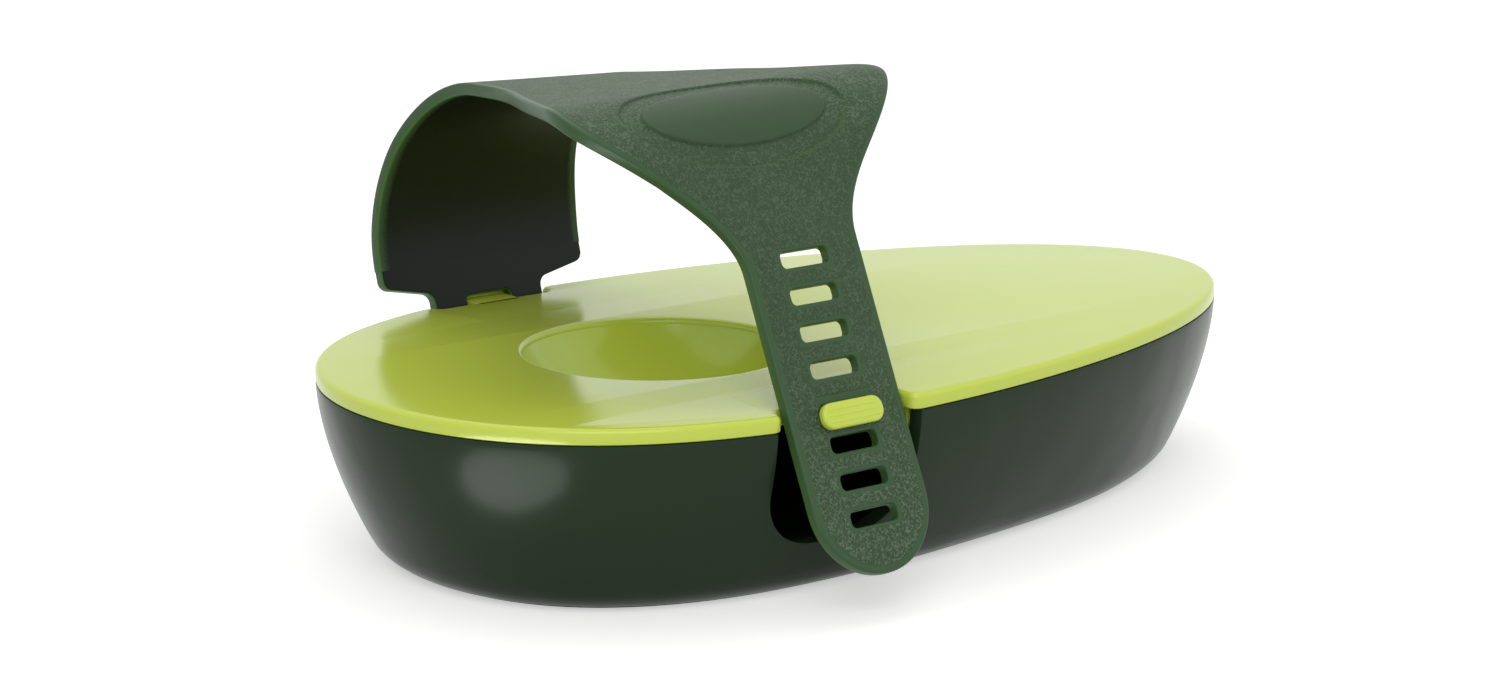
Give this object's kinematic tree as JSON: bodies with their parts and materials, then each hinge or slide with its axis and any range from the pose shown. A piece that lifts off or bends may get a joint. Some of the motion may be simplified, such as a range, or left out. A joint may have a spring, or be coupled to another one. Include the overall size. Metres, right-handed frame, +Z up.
{
  "type": "avocado saver",
  "caption": "Egg-shaped two-part base that holds a halved avocado cut side down, with a stone well and a slotted rubber strap hooked on pegs at both sides.",
  "frame": {"origin": "middle of the flat standing pad under the base, on the floor under the middle of the body's length", "axes": "+X along the body towards its narrow end, +Y towards the back of the strap, +Z up"},
  "size_m": [0.156, 0.0998, 0.0691],
  "materials": {
    "shell": "gloss, very dark green",
    "plate": "gloss, lime green",
    "strap": "fine pebbled grain, dark green"
  },
  "bodies": {
    "base": {"base_shell": "shell", "top_plate": "plate", "strap_back_end": "strap"},
    "strap_over": {"strap_crown": "strap", "strap_back_arm": "strap"},
    "strap_front": {"strap_front_arm": "strap", "strap_front_tail": "strap"}
  },
  "joints": [
    {"name": "strap_swing", "type": "hinge", "parent": "base", "child": "strap_over", "pos_m": [-0.0275, 0.04589, 0.03568], "axis": [-1, 0, 0], "range_deg": [0, 105], "deforming": ["strap_front_tail"]},
    {"name": "front_arm_flex", "type": "hinge", "parent": "strap_over", "child": "strap_front", "pos_m": [-0.0275, -0.03183, 0.05002], "axis": [-1, 0, 0], "range_deg": [0, 55], "deforming": ["strap_front_tail"]}
  ]
}
